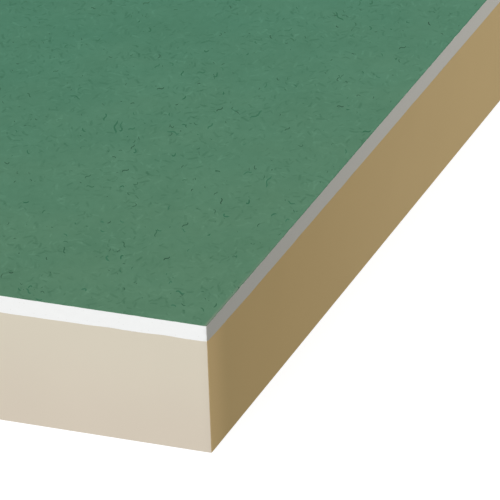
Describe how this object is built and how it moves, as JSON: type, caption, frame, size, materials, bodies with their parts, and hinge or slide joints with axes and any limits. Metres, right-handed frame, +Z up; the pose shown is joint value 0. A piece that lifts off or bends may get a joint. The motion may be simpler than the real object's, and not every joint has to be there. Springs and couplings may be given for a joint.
{
  "type": "polyiso insulation board",
  "caption": "Flat square-edged insulated building board: rigid polyiso foam bonded under a gypsum board with a green paper face, for lining walls, roofs and ceilings.",
  "frame": {"origin": "middle of the sheet's underside, on the foam's lower face", "axes": "+X across the sheet's width, +Y along its length, +Z up through its thickness towards the paper face"},
  "size_m": [1.2, 2.4, 0.0925],
  "materials": {
    "polyiso_foam": "closed-cell rigid foam, sawn square, pale cream, darker tan on the long edges",
    "gypsum": "bare gypsum, cut edge, matt white",
    "green_paper": "matt green liner paper with short dark fibres"
  },
  "bodies": {
    "root": {"foam_slab": "polyiso_foam", "gypsum_core": "gypsum", "face_paper": "green_paper"}
  },
  "joints": []
}
